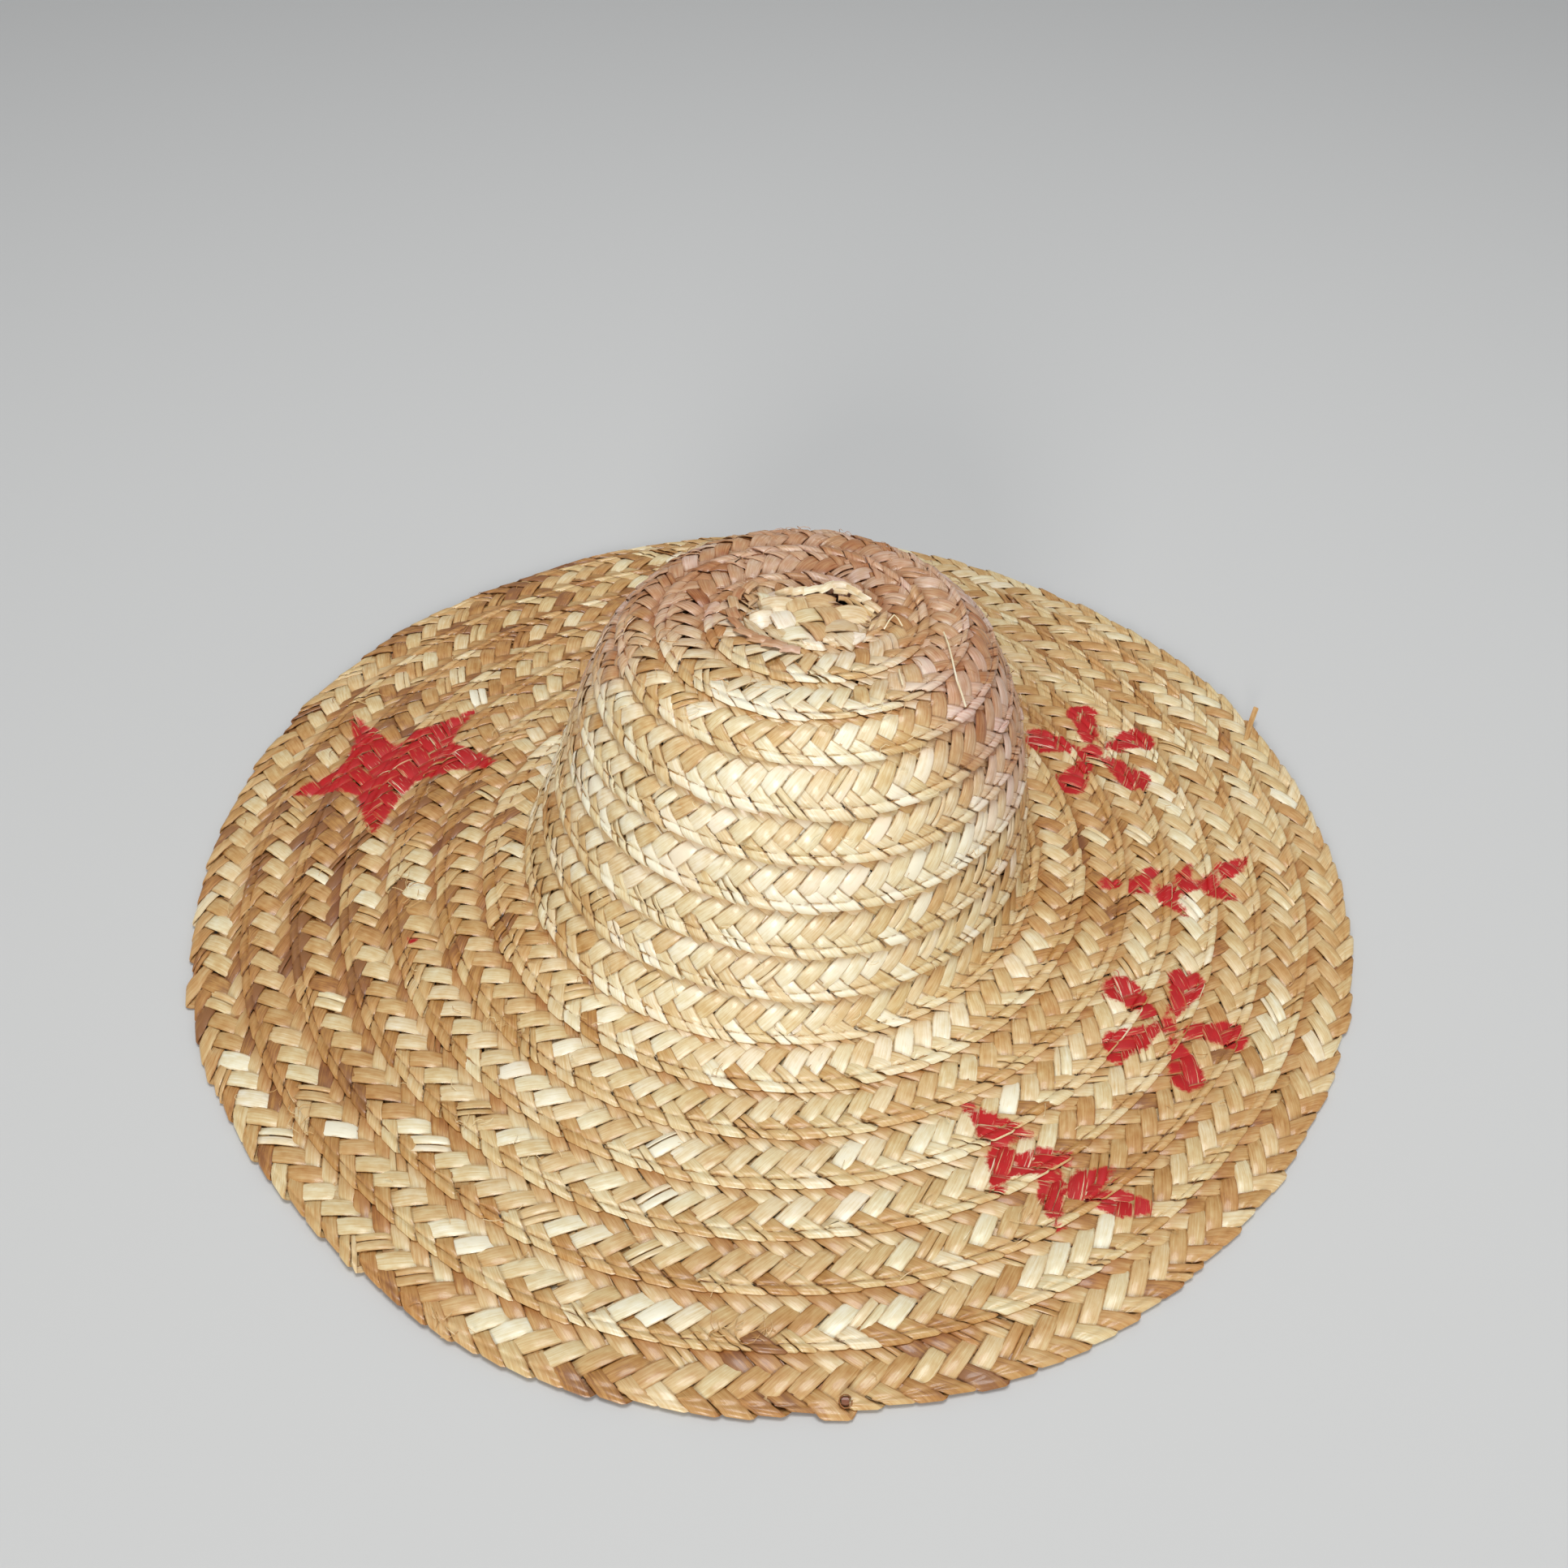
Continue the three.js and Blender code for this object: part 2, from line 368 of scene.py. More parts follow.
# One straight splint, as long as its course has stations: corners as (station, side, top) and quads
def splintTemplate(stationCount):
    form = bmesh.new()
    bmesh.ops.create_cube(form, size=1)
    bmesh.ops.translate(form, verts=form.verts, vec=(0.5, 0, 0.5))
    lengthwise = [edge for edge in form.edges if abs(edge.verts[0].co.x - edge.verts[1].co.x) > 0.5]
    bmesh.ops.subdivide_edges(form, edges=lengthwise, cuts=stationCount - 2)
    for vert in form.verts:
        if vert.co.z > 0.5:
            vert.co.y *= plait["flatShare"]
    bmesh.ops.recalc_face_normals(form, faces=form.faces)
    form.verts.index_update()
    corners = np.array([vert.co for vert in form.verts])
    station = np.rint(corners[:, 0] * (stationCount - 1)).astype(int)
    quads = np.array([[vert.index for vert in face.verts] for face in form.faces])
    form.free()
    return station, corners[:, 1], corners[:, 2], quads


# Splints last a few cycles of the weave and then another takes over, so each has its own colour and width
def splintCharacter(repeats):
    strand = repeats % plait["splintCount"]
    lag = np.array([0.0, 0.6, 0.15, 0.8, 0.35, 0.5, 0.95])[strand]
    number = np.floor(repeats / (plait["splintCount"] * plait["spliceEvery"]) + lag).astype(int)
    table = np.random.default_rng(7).uniform(0, 1, (plait["splintCount"], 80, 3))
    return table[strand, np.clip(number, 0, 79)]


# Lists the splints of one course with their own small faults. A share of them is split lengthwise in two.
def splintList(course, first, last):
    chance = np.random.default_rng(100 + sorted(courses).index(course) + 10 * abs(first))
    repeats = np.arange(first, last)
    character = splintCharacter(repeats)
    count = len(repeats)
    cellTone = chance.normal(0, 0.13, count)
    # Draws are made in this order
    rows = {
        "repeat": repeats,
        "shift": chance.normal(0, 0.05, count),
        "width": 1.06 - 0.08 * character[:, 1] ** 2 - chance.uniform(0, 0.05, count),
        "turnOff": chance.normal(0, 0.03, count),
        "tilt": chance.normal(0.1, 0.13, count),
        "raise": chance.normal(0, 0.05, count),
        "tone": character[:, 0] - 0.5 + cellTone,
        "sheen": character[:, 2],
        "slip": chance.normal(0, 0.1, count),
        "reach": chance.normal(0, 0.12, count),
        "seed": chance.uniform(0, 1, count),
        "drawn": chance.uniform(0.2, 1.1, count),
        "wobble": chance.normal(0, 1, count),
    }
    split = chance.uniform(0, 1, count) < courses[course]["split"]
    cut = chance.uniform(-0.2, 0.2, count)
    parts = [{name: values[~split] for name, values in rows.items()}]
    for side in (-1, 1):
        half = {name: values[split] for name, values in rows.items()}
        share = 0.5 - cut[split] * side - 0.012
        half["shift"] = half["shift"] + half["width"] * side * (0.5 - share / 2)
        half["width"] = half["width"] * share
        for name, spread in (("tilt", 0.16), ("raise", 0.06), ("tone", 0.1)):
            half[name] = half[name] + chance.normal(0, spread, len(share))
        half["seed"] = chance.uniform(0, 1, len(share))
        parts.append(half)
    return {name: np.concatenate([part[name] for part in parts]) for name in rows}


crossingLength = (5.3, 5.2)  # of one crossing along and across a splint, in mm, for its grain


# Makes one list of corners and one of quads from what is known of each splint, or of each of its corners
def joinCorners(facts, quads, kept):
    shape = facts["point"].shape[:2]
    faces = quads[None] + (np.arange(kept.sum()) * shape[1])[:, None, None]
    joined = {}
    for name, value in facts.items():
        size = np.shape(value)[2:]
        joined[name] = np.broadcast_to(value, shape + size)[kept].reshape((-1,) + size)
    return joined, faces.reshape(-1, 4)


# Lays every splint of a course on the plait: corners, quads and what the materials read
def layCourse(course, first, last, placed, length):
    stations = np.array(courses[course]["stations"])
    atInner = courses[course]["edge"] == "inner"
    onButton = placed is buttonPoint
    count = plait["splintCount"]
    station, side, top, quads = splintTemplate(len(stations))
    side = side[None]
    column = {name: values[:, None] for name, values in splintList(course, first, last).items()}
    crossing, lift, facing = stations[station].T[:, None]
    facing = np.radians(facing)
    narrowed = 1 - 0.07 * np.clip((np.abs(crossing) - 2.5) ** 2 - 0.25, 0, 1) * (np.abs(crossing) > 1)
    widths = side * column["width"] * narrowed + column["shift"]
    # Straight across at the fold, and along the crossing splints away from it
    square = np.clip((1.4 - np.abs(crossing)) / 0.7, 0, 1)
    onTip = 1 - smoothStep(2.2, 3.6, np.interp(column["repeat"], pathRepeat, pathTurn))
    unruly = button["unruly"] if onButton else 1 + (tipUnruly - 1) * onTip
    stray = column["turnOff"] * (crossing - stations[:, 0].mean()) * unruly
    reach = crossing + widths * square + column["slip"] * (np.abs(crossing) > 1.2)
    place = column["repeat"] + (count / 2 if atInner else 0) + (reach + widths) / 2 + stray
    along = place * button["repeat"] if onButton else np.interp(place, pathRepeat, pathLength)
    turn = np.interp(along, pathLength, pathTurn)
    rim = np.ones_like(turn) if onButton else rimAt(turn)
    height = lift * plait["relief"] + column["raise"] + side * column["tilt"] * 2 * (1 + 0.6 * onTip)
    crossings = np.abs(reach - widths)
    if course == "edgeWrap":
        bump = {name: size * bumpAt(crossing, *where) for name, (*where, size) in edgeBumps.items()}
        crossings = crossings - bump["bulge"] * (1 - (2 * side) ** 2 + side + column["tilt"])
        crossings = crossings - bump["rimSkew"] * rim * side + bump["sway"] * column["wobble"]
        crossings = crossings - (bump["stray"] + bump["rimStray"] * rim) * column["reach"]
        drawn = (1 - smoothStep(10, 14, turn) * 0.3) * column["drawn"] * (1 - rim)
        height = height + bump["crease"] * (1 - drawn) + bump["roll"] * column["wobble"]
        pit = (bump["pit"] + bump["ownPit"] * column["seed"]) * stitchedAt(turn) * (1 - rim)
        height = height - bump["hollow"] * side - pit * np.abs(2 * side)
    thickness = plait["splintThickness"] * top[None]
    crossings = count - crossings if atInner else crossings
    if onButton:
        across = 1 - crossings / count
    else:
        fromEdge, sheared = acrossPlait(crossings, turn)
        across = 1 - fromEdge / plait["width"]
        along = along + sheared
    across = across + np.sin(facing) * thickness / plait["width"] * (-1 if atInner else 1)
    along = np.clip(along, 0.5, length - 0.5)
    across, height = np.broadcast_arrays(across, height + np.cos(facing) * thickness)
    point, turn, angle, place = placed(along, across, height)
    # How close under the edge of the turn that laps over this one, where dirt gathers and shade is painted
    beyond = np.maximum(place - np.maximum(turn - 1, 0), 0) * plait["lapSpacing"]
    # Painted shade and sheen on the brim's left: the fold and the cells beside it darker, the outer right
    # cells lighter
    paintedShading = inSpot(np.degrees(angle), paintedEdgeShading) * smoothStep(9.3, 10.6, turn)
    if course == "edgeWrap":
        folded = crossing > -0.7
        shift = np.where(folded, paintedEdgeShading["fold"], paintedEdgeShading["beside"]) * paintedShading * (1 - 0.5 * rim)
        # The fold painted lighter all round, a painted highlight
        shift = shift + foldHighlight * folded * (1 - rim)
    else:
        shift = paintedEdgeShading["over"] * paintedShading * (course == "outerRight")
    runs = stations[station, 0] * crossingLength[0] + column["seed"] * 900
    creaseLift = np.where(crossing == -plait["crease"], 0.6, lift)
    facts = {
        "point": point,
        "uv": np.stack([runs, side * column["width"] * crossingLength[1]], -1),
        "tone": column["tone"] + shift,
        "sheen": column["sheen"],
        "seed": column["seed"],
        "lift": np.where(np.cos(facing) < -0.01, -lift, creaseLift),
        "outside": np.cos(facing),
        "cover": bumpAt(beyond, 0, 2.6) * (turn > 1) * (np.cos(facing) > 0),
        "settled": (course != "outerRight") * smoothStep(9, 10, turn),
        "crossing": crossing if course == "edgeWrap" else plait["notFolded"],
        "side": side,
        "stitched": (1 - rim) * stitchedAt(turn),
        "stain": -1,
    }
    return joinCorners(facts, quads, np.ones(len(along), bool) if onButton else keptSplints(point))


# Where a point stands from the button's middle: front-to-back radius in mm and degrees
def fromButton(point):
    _, _, ratio, _, leanX, leanY = crownTurns[1]
    x = (point[..., 0] - leanX) / ratio
    y = point[..., 1] - leanY
    return np.hypot(x, y), np.degrees(np.arctan2(y, x))


# Splints lost from the tear, as a mask over the splints of a course
def keptSplints(points):
    radius, degrees = fromButton(points.mean(axis=1))
    inside = (radius > tear["innerRadius"]) & (radius < tear["outerRadius"])
    inside &= (degrees > tear["fromAngle"]) & (degrees < tear["toAngle"])
    return ~(inside & (points[..., 2].mean(axis=1) > 95))


# Loose splints and threads, each along its own path in mm: paths and normals are (splint, station, xyz)
def looseSplints(paths, normals, width, thickness, tone, stain=-1, lift=1, edged=0):
    paths = np.asarray(paths, float)
    number, stations = paths.shape[:2]
    normals = np.broadcast_to(normals, paths.shape)
    width, tone, stain = (np.broadcast_to(value, number)[:, None] for value in (width, tone, stain))
    station, side, top, quads = splintTemplate(stations)
    sideways = unit(np.cross(normals, np.gradient(paths, axis=1)))
    across = side[None] * width
    point = paths[:, station] + sideways[:, station] * across[..., None]
    point = point + normals[:, station] * (top * thickness)[None, :, None]
    seed = rng.uniform(0, 1, number)[:, None]
    steps = np.linalg.norm(np.diff(paths, axis=1, prepend=paths[:, :1]), axis=-1)
    facts = {
        "point": point,
        "uv": np.stack([np.cumsum(steps, axis=1)[:, station] + seed * 900, across + 3], -1),
        "tone": tone,
        "sheen": 0.5,
        "seed": seed,
        "lift": np.broadcast_to(lift, (number, stations))[:, station],
        "outside": 1,
        "cover": 0,
        "settled": 0,
        "crossing": plait["notFolded"],
        "side": side[None] * edged,
        "stitched": 0,
        "stain": stain,
    }
    return joinCorners(facts, quads, np.ones(number, bool))


# The button's top: two sets of short wide splints, one over one
def buttonCells():
    share = np.array([-0.74, -0.52, -0.25, 0, 0.25, 0.52, 0.74])
    headings = [math.radians(heading) for heading in button["headings"]]
    ways = [np.array([math.cos(heading), math.sin(heading)]) for heading in headings]
    insetX, insetY = button["inset"]
    archTop, archFall = button["cellArch"]
    arch = archTop - archFall * share ** 2
    steps = range(-button["cellRows"], button["cellRows"] + 1)
    tones = rng.normal(0, 0.26, (2, 30))  # a row's number picks its own, from either end
    laid = []
    for own, way in enumerate(ways):
        across = ways[1 - own]
        paths = []
        cellTones = []
        for row, place in ((row, place) for row in steps for place in steps if (row + place) % 2 == own):
            middle = (way * place + across * row) * button["cell"] + rng.normal(0, 0.35, 2)
            farOut = abs(middle[0]) > insetX * button["halfLength"]
            if farOut or abs(middle[1]) > insetY * button["halfDepth"]:
                continue
            askew = rng.normal(0, 0.16)
            heading = np.array([way[0] - askew * way[1], way[1] + askew * way[0]])
            line = middle + share[:, None] * heading * button["cell"] * rng.uniform(0.95, 1.1)
            height = 0.2 + rng.normal(0, 0.08) + plait["relief"] * arch
            along = button["halfLength"] + line[:, 0]
            paths.append(buttonPoint(along, 0.5 - line[:, 1] / (2 * button["halfDepth"]), height)[0])
            cellTones.append(tones[own, row] + rng.normal(0, 0.24) + button["cellTones"][own])
        normals = unit(np.array([0, 0, 1.0]) + rng.normal(0, 0.14, (len(paths), 1, 3)))
        widths = button["cell"] * rng.uniform(0.92, 1.06, len(paths))
        stains = rng.uniform(0.1, 0.5, len(paths))
        laid.append(looseSplints(paths, normals, widths, 0.3, cellTones, stains, arch[None], edged=1))
    return laid


# Points a little over the hat's face, from turns and degrees
def overFace(turns, degrees, height):
    base, normal = outerFrame(np.asarray(turns, float), np.radians(degrees))
    return base + normal * np.asarray(height, float)[..., None], normal


# Short overlapping splints along a line, like a frayed rope. facing leans their faces
def ropeSplints(line, length, width, facing, tones, stains, swing=0.3):
    line = np.asarray(line, float)
    along = np.concatenate([[0], np.cumsum(np.linalg.norm(np.diff(line, axis=0), axis=1))])
    number = len(tones)
    middle = (np.arange(number) + 0.5) / number * along[-1]
    share = np.linspace(-0.5, 0.5, 6)
    at = middle[:, None] + share[None] * length * rng.uniform(0.85, 1.15, number)[:, None]
    paths = np.stack([smoothTable(along, line[:, axis], at) for axis in range(3)], -1)
    facing = np.broadcast_to(unit(facing + rng.normal(0, 0.12, (number, 1, 3))), paths.shape)
    sideways = unit(np.cross(facing, np.gradient(paths, axis=1)))
    paths = paths + sideways * (share[None, :, None] * width * swing)
    bulge = 0.5 - 3.0 * share ** 2 + 0.15 * np.sin(share * 14)
    paths = paths + facing * bulge[None, :, None] + facing * rng.normal(0, 0.1, (number, 1, 1))
    widths = width * rng.uniform(0.85, 1.15, number)
    return looseSplints(paths, facing, widths, 0.3, tones, stains)


# The rolled lip of the tear, the ends curled into it, and the folded strip round the button's left
tearLip = [
    (-0.5, 24.6, 108.4), (3.5, 25.2, 109.0), (9.5, 25.7, 109.3), (14.5, 26.4, 109.6), (19.0, 28.6, 109.9),
    (23.0, 27.2, 109.8), (26.4, 23.8, 109.6), (29.6, 20.4, 109.2), (33.0, 16.6, 108.6),
]
foldedStrip = [
    (-8.0, 30.4, 108.4), (-12.4, 26.4, 108.6), (-15.3, 20.6, 108.6), (-15.4, 13.2, 108.5),
    (-13.4, 6.6, 108.4), (-8.6, 1.6, 108.4), (-3.2, -1.4, 108.3), (1.8, -3.6, 108.2), (6.4, -5.4, 108.0),
]
curledEnds = [
    [(20.2, 23.4, 108.2), (22.4, 22.4, 108.5), (24.0, 20.4, 108.2), (25.6, 16.8, 107.6)],
    [(22.6, 23.2, 108.0), (25.2, 21.2, 108.5), (28.0, 18.0, 108.4), (31.0, 14.2, 107.8)],
]
bentFibre = [
    (34.8, 6.2, 108.6), (36.6, 9.4, 109.9), (38.3, 11.9, 110.2), (39.6, 10.6, 109.6), (41.0, 8.2, 108.4),
]
# Tone and stain of each splint in them
lipLook = ((-0.1, -0.3, -0.45, -0.5, -0.45, -0.25, -0.4, -0.2), (0.5, 0.35, 0.3, 0.25, 0.35, 0.2, 0.4, 0.6))
underLook = ((-0.2, -0.1, -0.3), (0.3, 0.5, 0.3))
stripLook = ((0.1, 0.3, 0.0, 0.1, 0.2, 0.0, 0.1, -0.1, -0.3), (0.8, 1.0, 0.7, 0.9, 1.0, 0.9, 1.2, 1.6, 1.4))
# Loose threads: turns, degrees and heights of their points, then width and tone
looseThreads = [
    (
        (1.59, 1.78, 2.01, 2.38, 2.66, 2.92), (-10, -18, -25, -32, -34, -35),
        (0.5, 0.9, 1.1, 1.0, 0.9, 0.4), 0.5, -0.5,
    ),
    ((1.34, 1.5, 1.72), (-45, -48, -50), (0.4, 1.5, 0.6), 0.6, -0.3),
]


def tearDetails():
    laid = [ropeSplints(tearLip, 7.0, 2.7, (0.0, -0.55, 0.83), *lipLook)]
    under = np.array(tearLip[4:]) + np.array([-1.0, -1.6, -0.9])
    laid.append(ropeSplints(under, 5.0, 2.2, (-0.3, -0.7, 0.6), *underLook))
    laid.append(looseSplints(curledEnds, (-0.4, -0.75, 0.53), 1.5, 0.3, (0.1, 0.2), (0.5, 0.4)))
    laid.append(ropeSplints(foldedStrip, 7.5, 3.4, (0, -0.2, 1.0), *stripLook, swing=0.5))
    laid.append(looseSplints([bentFibre], (0, -0.3, 1), 0.55, 0.25, -0.35, 0.3))
    for turns, degrees, heights, width, tone in looseThreads:
        path, facing = overFace(turns, degrees, heights)
        laid.append(looseSplints([path], [facing], width, 0.4, tone, 0.0))
    return laid


# Frayed places: turn, degrees and number of fibres
frayed = [
    (14.72, -93, 16), (14.82, -142, 12), (15.7, -117, 8), (11.42, -169, 8), (13.6, -60, 6), (12.7, -128, 6),
]


def rimDetails():
    # A curled end with its core, and a stray straw
    loop = np.linspace(0.6, 6.4, 10)
    outwards = np.stack([np.cos(loop), 0.9 * np.sin(loop), 0.4 * np.sin(loop)], -1)
    ring = np.array([22.2, -207.0, 3.4]) + 1.7 * outwards
    core = [(21.0, -207.0, 3.5), (22.0, -207.0, 3.6), (23.2, -207.0, 3.5)]
    stray = [(190.8, 70.0, 3.4), (192.6, 75.0, 4.3), (194.6, 80.0, 5.4), (197.4, 86.0, 7.6)]
    laid = [
        looseSplints([ring], [outwards], 2.0, 0.3, 0.55, 0.8),
        looseSplints([core], (0, -0.4, 1), 2.4, 0.2, 2.4, 3.0),
        looseSplints([stray], (0.3, 0.1, 0.95), 2.2, 0.3, 0.5),
    ]
    for turnAt, degreesAt, number in frayed:
        laid.append(hairs(turnAt + rng.normal(0, 0.07, number), degreesAt + rng.normal(0, 2.2, number)))
    return laid


# Fine broken fibres standing off the face, from the tip to the rim's edge
strayFibres = {"perTurn": 26, "from": 1.2, "to": 15.6, "length": (2.0, 6.0), "rise": (0.3, 1.4)}


def hairs(turns, degrees):
    number = len(turns)
    length = rng.uniform(*strayFibres["length"], number)[:, None]
    heading = rng.uniform(0, turnAngle, number)[:, None]
    share = np.linspace(0, 1, 4)[None]
    heading = heading + rng.normal(0, 0.8, number)[:, None] * share
    turnStep = length * share * np.sin(heading) / plait["lapSpacing"]
    base = outerFace(turns, np.radians(degrees))
    angleStep = np.degrees(length * share * np.cos(heading) / np.hypot(base[:, 0], base[:, 1])[:, None])
    height = 0.2 + rng.uniform(*strayFibres["rise"], number)[:, None] * np.sin(math.pi * share * 0.8)
    paths, normals = overFace(turns[:, None] + turnStep, degrees[:, None] + angleStep, height)
    tone = rng.choice([-0.1, 0.2, 0.5], number, p=[0.4, 0.4, 0.2])
    return looseSplints(paths, normals, 0.22, 0.16, tone)


# The thread in the crease: a short stitch from each needle hole. Its three points, from end to end
thread = {"along": (-0.04, 0.2, 0.5), "across": (-0.03, 0.04, -0.05), "height": (-0.1, 0.34, 0.1)}


def stitches(first, last):
    number = np.arange(first, last)
    along = np.interp(number[:, None] + 0.16 + np.array(thread["along"]), pathRepeat, pathLength)
    crossings = plait["crease"] + np.array(thread["across"]) + rng.normal(0, 0.03, (len(number), 1))
    fromEdge, sheared = acrossPlait(crossings, np.interp(along, pathLength, pathTurn))
    across = 1 - fromEdge / plait["width"]
    along = along + sheared
    height = np.broadcast_to(thread["height"], along.shape)
    paths, turn, angle, place = plaitPoint(np.clip(along, 1, pathLength[-1] - 1), across, height)
    _, normals = outerFrame(place, angle)
    stitched = (turn[:, 0] > 1) & (turn[:, 0] < 15.2)
    return looseSplints(paths[stitched], normals[stitched], 0.26, 0.16, 0.95)


def joinLaid(laid):
    offset = 0
    faces = []
    for facts, quads in laid:
        faces.append(quads + offset)
        offset += len(facts["point"])
    joined = {name: np.concatenate([facts[name] for facts, _ in laid]) for name in laid[0][0]}
    return joined, np.concatenate(faces)


# The painted marks, in mm from the rim's centre, all on the brim
starOutline = [
    (-174, 74.6), (-163.7, 67.4), (-157.8, 62.5), (-151.8, 56.4), (-142.8, 66.5), (-123.6, 77.7),
    (-129.1, 66.8), (-131.7, 58.7), (-122.5, 55.4), (-111.1, 47.5), (-114.9, 43.5), (-125, 44),
    (-134.3, 38.9), (-141.5, 36.7), (-145.9, 27.1), (-151.1, 7.9), (-157.9, 18.8), (-159.4, 28.8),
    (-170.6, 30.5), (-188.3, 29.5), (-181.1, 35.1), (-168.9, 47.1), (-169.1, 60),
]


def placeFrom(x, y, angle, distance):
    return x + math.cos(angle) * distance, y + math.sin(angle) * distance


# Sprigs and blossoms are lists of strokes: start, end, half width at each
def blossomStrokes(x, y, size, spin):
    strokes = []
    for petal in range(5):
        angle = spin + petal * turnAngle / 5
        start = placeFrom(x, y, angle, size * 0.3)
        end = placeFrom(x, y, angle, size * 0.78)
        strokes.append((*start, *end, size * 0.09, size * 0.23))
    strokes.append((x, y, x, y, size * 0.13, size * 0.13))
    return strokes


# A curved stem with leaves on alternate sides and one at its tip
def sprigStrokes(x, y, size, heading, leafCount):
    strokes = []
    previous = None
    for step in range(leafCount + 1):
        share = step / leafCount
        angle = heading + 0.9 * (share - 0.5)
        sag = size * 0.2 * (1 - (2 * share - 1) ** 2)
        straight = placeFrom(x, y, heading, size * (share * 1.7 - 1))
        here = placeFrom(*straight, heading - math.pi / 2, sag)
        if previous:
            strokes.append((*previous, *here, size * 0.07, size * 0.06))
        previous = here
        if step:
            hand = (1 if step % 2 else -1) if step < leafCount else 0.1
            leaf = angle + hand * 0.85
            near = placeFrom(*here, leaf, size * 0.2)
            far = placeFrom(*here, leaf, size * 0.52)
            strokes.append((*near, *far, size * 0.14, size * 0.05))
            strokes.append((*here, *near, size * 0.05, size * 0.14))
    return strokes


def strokeDistance(x, y, stroke):
    ax, ay, bx, by, startHalf, endHalf = stroke
    dx, dy = bx - ax, by - ay
    span = dx * dx + dy * dy
    t = np.clip(((x - ax) * dx + (y - ay) * dy) / span, 0, 1) if span else np.zeros_like(x)
    return np.hypot(x - ax - t * dx, y - ay - t * dy) - (startHalf + (endHalf - startHalf) * t)


def outlineDistance(x, y, outline):
    best = np.full_like(x, 1e6)
    inside = np.zeros(x.shape, bool)
    for (ax, ay), (bx, by) in zip(outline, outline[1:] + outline[:1]):
        best = np.minimum(best, strokeDistance(x, y, (ax, ay, bx, by, 0, 0)))
        crosses = (ay > y) != (by > y)
        level = ax + (bx - ax) * (y - ay) / (by - ay + 1e-9)
        inside ^= crosses & (x < level)
    return np.where(inside, -best, best)


marks = (
    blossomStrokes(127, 60, 27, 0.4)
    + sprigStrokes(147, -9, 26, 0.15, 5)
    + blossomStrokes(134, -76, 26, 1.1)
    + sprigStrokes(86, -129, 30, -0.7, 6)
    + [(-128.2, -44.4, -126.8, -43.9, 0.9, 0.7)]
)


def paintDistance(point, outside):
    x = point[:, 0]
    y = point[:, 1]
    best = outlineDistance(x, y, starOutline)
    for stroke in marks:
        best = np.minimum(best, strokeDistance(x, y, stroke))
    return np.minimum(best, 12) + np.where(outside > 0.2, 0, 20)


# Where the straw has gone mauve with age: centre, reach and strength, in mm
mauveSpots = [
    (25, 58, 106, 60, 1.15), (72, 42, 92, 50, 1.2), (-38, 40, 103, 46, 1.15), (78, 0, 84, 46, 1.1),
    (66, -8, 100, 34, 1.1), (0, 88, 78, 56, 1.0), (-66, 40, 80, 40, 1.0), (-50, 10, 98, 26, 0.85),
    (88, -20, 40, 40, 0.5), (95, 95, 6, 60, 0.3), (-150, 60, 4, 50, 0.2),
]
# Rim and left side have turned amber. Columns as above
amberSpots = [
    (-185, -60, 3, 60, 1.0), (-185, 30, 3, 65, 1.0), (-120, 165, 3, 65, 1.0), (-120, -165, 3, 45, 0.75),
    (0, -206, 2, 32, 1.2), (-45, -202, 2, 22, 0.9), (45, -202, 2, 28, 1.1), (90, -183, 2, 30, 0.7),
    (190, -40, 3, 40, 0.5), (150, 130, 3, 55, 0.5), (-60, 120, 5, 60, 0.8), (150, -120, 2, 45, 0.6),
    (108, -10, 6, 34, 0.9), (-118, 20, 6, 40, 1.0), (105, 60, 6, 45, 0.5), (-92, -33, 8, 36, 1.0),
    (129, -137, 4, 38, 0.7), (120, 120, 5, 50, 0.65), (-34, 12, 108, 22, 0.2), (-142, -110, 5, 36, 0.6),
    (50, 14, 106, 20, 0.3),
]
# The crown's front has stayed palest
paleSpots = [
    (5, -75, 45, 55, 0.9), (-40, -60, 60, 45, 0.6), (10, -95, 20, 45, 0.6), (40, -140, 5, 45, 0.5),
    (-55, -130, 5, 50, 0.6), (-95, -110, 5, 40, 0.4), (33.9, 3.6, 108, 3.2, 1.8), (-80, -139, 6, 34, 0.75),
    (3, -55, 92, 28, 1.0), (63, -46, 58, 28, 0.55), (6, -18, 107, 16, 0.4),
]
# The brim's right and back are more even in tone than the rest
evenSpots = [
    (170, 0, 4, 80, 1.0), (120, 110, 5, 80, 1.0), (110, -30, 6, 50, 0.8), (0, 180, 4, 90, 0.8),
    (150, -110, 4, 60, 0.9), (20, 60, 104, 40, 0.9), (-40, 20, 105, 30, 0.9), (60, 20, 100, 30, 0.5),
]
# A splint's tone is its own, times a spread, plus what its place adds. 0 is palest and 1 darkest
toneRange = {
    "spread": 0.62,
    "paleSpread": -0.34,
    "evenSpread": -0.2,
    "middle": 0.36,
    "amber": 0.26,
    "pale": -0.2,
    "settled": 0.1,
}


def spotted(point, spots):
    total = np.zeros(len(point))
    for x, y, z, reach, strength in spots:
        distance = np.linalg.norm(point - np.array([x, y, z]), axis=1)
        total = np.maximum(total, strength * bumpAt(distance, 0, reach))
    return total


def meshFromArrays(name, points, quads):
    mesh = bpy.data.meshes.new(name)
    mesh.vertices.add(len(points))
    mesh.vertices.foreach_set("co", np.ascontiguousarray(points * mm, np.float32).ravel())
    mesh.loops.add(quads.size)
    mesh.loops.foreach_set("vertex_index", quads.astype(np.int32).ravel())
    mesh.polygons.add(len(quads))
    mesh.polygons.foreach_set("loop_start", np.arange(0, quads.size, 4, dtype=np.int32))
    mesh.update(calc_edges=True)
    mesh.validate()
    return mesh


def setAttribute(mesh, name, values):
    layer = mesh.attributes.new(name, "FLOAT", "POINT")
    layer.data.foreach_set("value", np.ascontiguousarray(values, np.float32))


